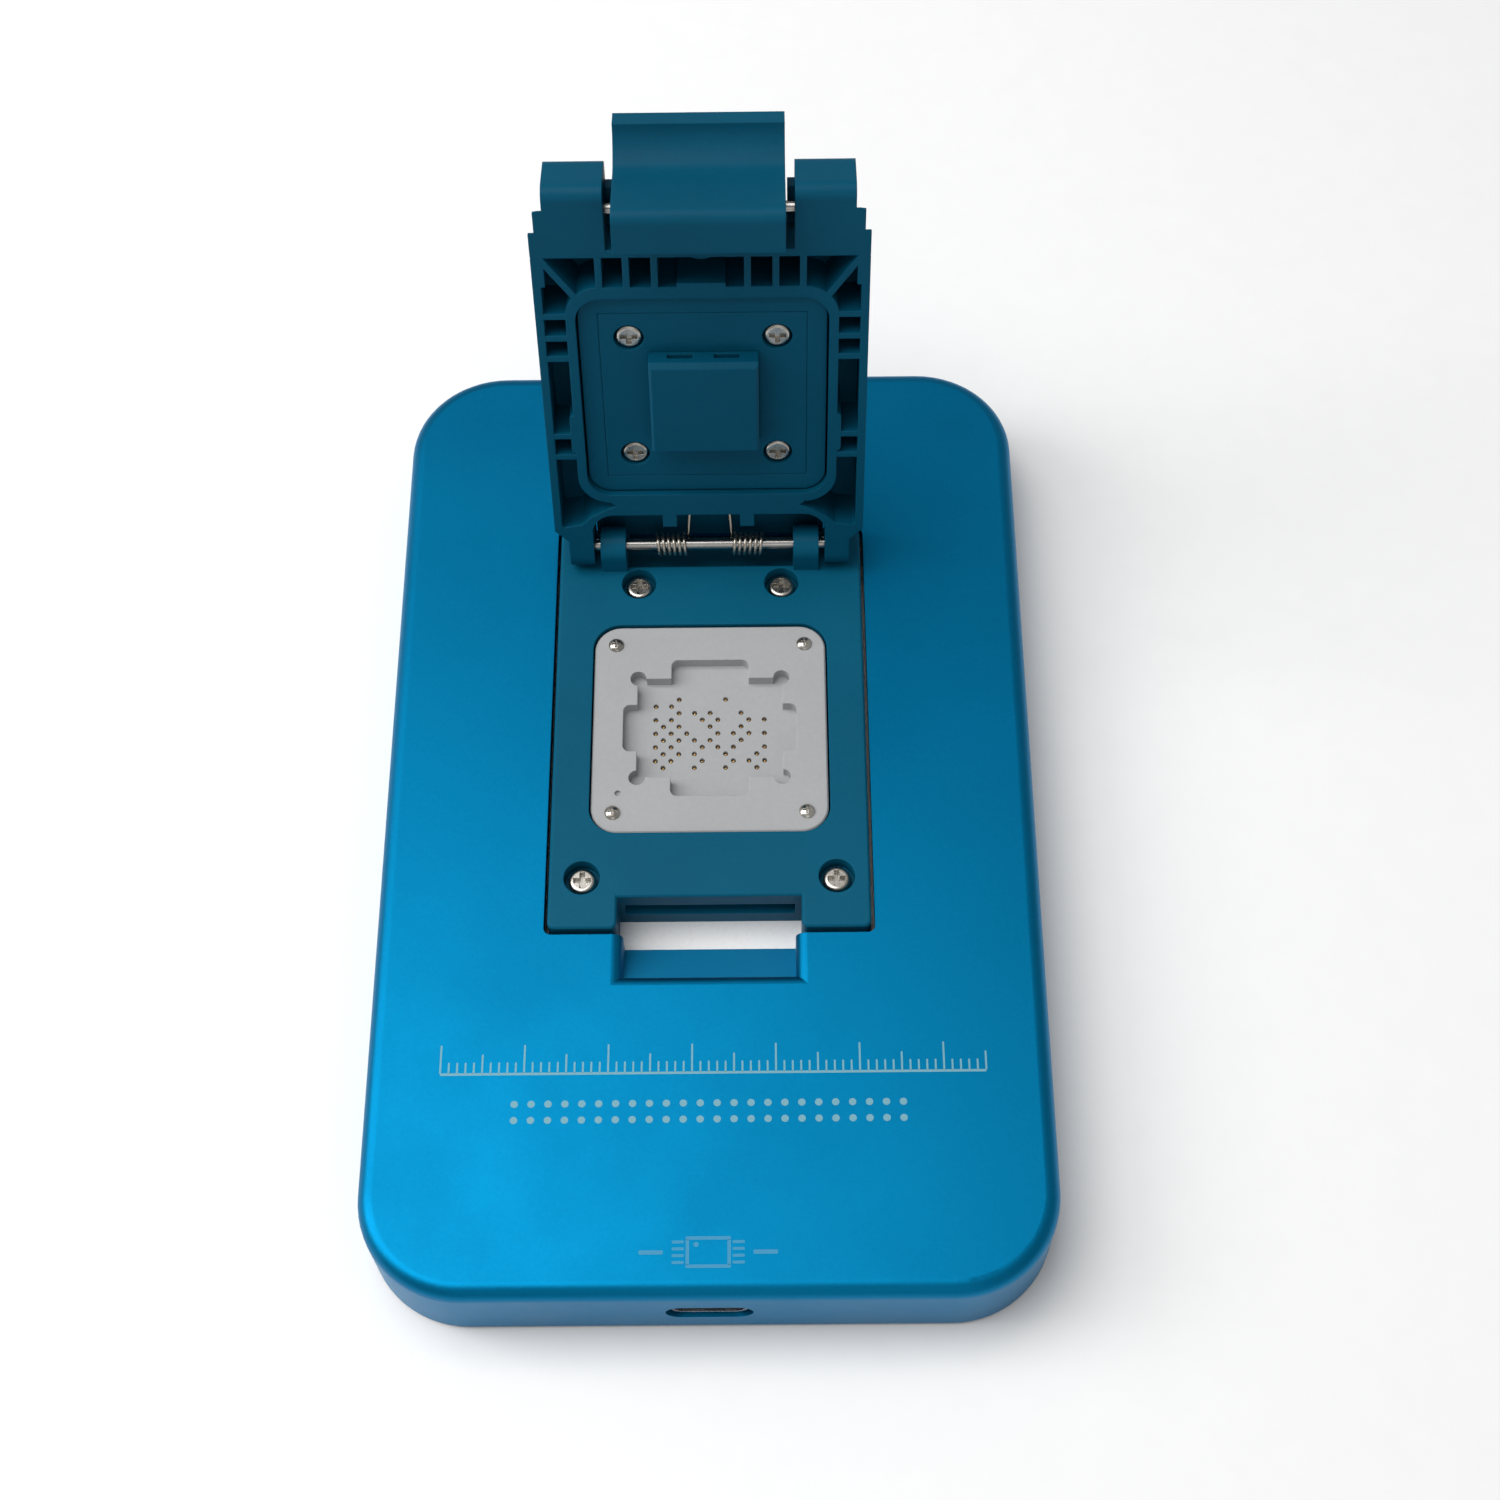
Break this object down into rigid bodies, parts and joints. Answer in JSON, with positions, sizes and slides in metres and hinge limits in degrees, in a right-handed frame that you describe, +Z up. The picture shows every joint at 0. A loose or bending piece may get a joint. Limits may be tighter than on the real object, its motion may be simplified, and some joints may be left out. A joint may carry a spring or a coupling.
{
  "type": "usb microcontroller programmer",
  "caption": "Slim rounded metal USB chip programmer with a hinged clamshell test socket, spring contacts and a sprung front latch, shown open.",
  "frame": {"origin": "centre of the case's footprint at the underside of the rubber feet", "axes": "+Z up, -Y to the front with the cable inlet, +X to the right seen from the front, hinge axis along X"},
  "size_m": [0.082, 0.1304, 0.0729],
  "materials": {
    "anodised_case": "bead-blasted, blue anodised",
    "screw_steel": "nickel plated",
    "rubber": "matte",
    "solder_mask": "white solder mask over glass epoxy",
    "plated_steel": "bright",
    "black_plastic": "moulded",
    "gold": "gold plated",
    "ferrite": "ferrite",
    "ceramic": "ceramic",
    "led_lens": "clear resin",
    "base_plastic": "moulded, satin",
    "white_plastic": "machined, satin",
    "spring_steel": "drawn wire",
    "pin_steel": "ground",
    "lid_plastic": "moulded, satin"
  },
  "bodies": {
    "housing": {"top_shell": "anodised_case", "bottom_cover": "anodised_case", "cover_screws": "screw_steel", "rubber_feet": "rubber", "main_pcb": "solder_mask", "pcb_screws": "screw_steel", "usb_receptacle_shell": "plated_steel", "usb_receptacle_tongue": "black_plastic", "usb_receptacle_contacts": "gold", "mcu_chip": "black_plastic", "usb_controller_chip": "black_plastic", "memory_chip": "black_plastic", "level_shifter_chips": "black_plastic", "crystal": "plated_steel", "voltage_regulators": "black_plastic", "power_inductor": "ferrite", "chip_capacitors": "ceramic", "chip_resistors": "black_plastic", "status_leds": "led_lens", "socket_base": "base_plastic", "socket_screws": "screw_steel", "socket_nuts": "screw_steel", "pin_block": "black_plastic", "contact_barrels": "gold", "guide_plate_screws": "screw_steel", "guide_plate_springs": "spring_steel", "hinge_pin": "pin_steel", "hinge_spring_left": "spring_steel", "hinge_spring_right": "spring_steel"},
    "lid": {"lid_frame": "lid_plastic", "latch_pin": "pin_steel", "pressure_plate_screws": "screw_steel", "pressure_springs": "spring_steel", "latch_spring": "spring_steel"},
    "pressure_plate": {"pressure_plate": "lid_plastic", "press_block": "lid_plastic"},
    "latch": {"latch": "lid_plastic"},
    "guide_plate": {"guide_plate": "white_plastic"},
    "contact_plungers": {"contact_plungers": "gold"}
  },
  "joints": [
    {"name": "lid_hinge", "type": "hinge", "parent": "housing", "child": "lid", "pos_m": [0, 0.0346, 0.0161], "axis": [1, 0, 0], "range_deg": [0, 105], "stiffness_Nm_per_rad": 0.012, "springref_deg": -40.11, "deforming": ["hinge_spring_left", "hinge_spring_right"]},
    {"name": "latch_pivot", "type": "hinge", "parent": "lid", "child": "latch", "pos_m": [0, 0.04939, 0.06494], "axis": [1, 0, 0], "range_deg": [-20, 12], "stiffness_Nm_per_rad": 0.02, "deforming": ["latch_spring"]},
    {"name": "pressure_plate_float", "type": "slide", "parent": "lid", "child": "pressure_plate", "axis": [0, 0.9659, -0.2588], "range_m": [0, 0.001], "stiffness_N_per_m": 800, "springref_m": -0.002, "deforming": ["pressure_springs"]},
    {"name": "guide_plate_float", "type": "slide", "parent": "housing", "child": "guide_plate", "axis": [0, 0, -1], "range_m": [0, 0.0005], "stiffness_N_per_m": 500, "springref_m": -0.0015, "deforming": ["guide_plate_springs"]},
    {"name": "contact_plunger_travel", "type": "slide", "parent": "housing", "child": "contact_plungers", "axis": [0, 0, -1], "range_m": [0, 0.0003], "stiffness_N_per_m": 60, "springref_m": -0.0005}
  ]
}
